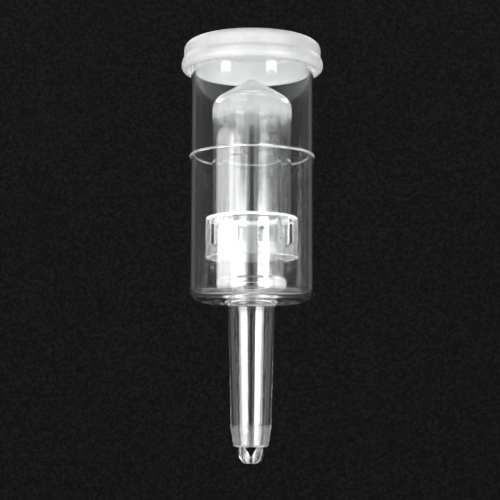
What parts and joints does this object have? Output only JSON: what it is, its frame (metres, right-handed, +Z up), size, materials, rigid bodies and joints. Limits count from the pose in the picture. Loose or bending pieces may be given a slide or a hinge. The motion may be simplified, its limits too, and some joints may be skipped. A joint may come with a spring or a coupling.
{
  "type": "fermentation airlock",
  "caption": "Clear water-seal vent: tapered stem, chamber with fill line, riser, inverted float cup with windowed cage, and a milky push-on lid.",
  "frame": {"origin": "lowest point of the stem's tip, on the axis", "axes": "+Z up the axis, from the tip towards the lid; +X and +Y run halfway between the tip's crossed ribs"},
  "size_m": [0.0436, 0.0436, 0.1287],
  "materials": {
    "clear_styrene": "clear crystal styrene, polished mould surface",
    "clear_styrene_float": "clear crystal styrene, polished mould surface, thinner wall",
    "milky_polyethylene": "natural milky polyethylene, satin"
  },
  "bodies": {
    "chamber": {"chamber_with_stem": "clear_styrene"},
    "float": {"float_cup": "clear_styrene_float"},
    "lid": {"snap_lid": "milky_polyethylene"}
  },
  "joints": [
    {"name": "float_lift", "type": "slide", "parent": "chamber", "child": "float", "axis": [0, 0, 1], "range_m": [0, 0.008]},
    {"name": "lid_lift", "type": "slide", "parent": "chamber", "child": "lid", "axis": [0, 0, 1], "range_m": [0, 0.025]}
  ]
}
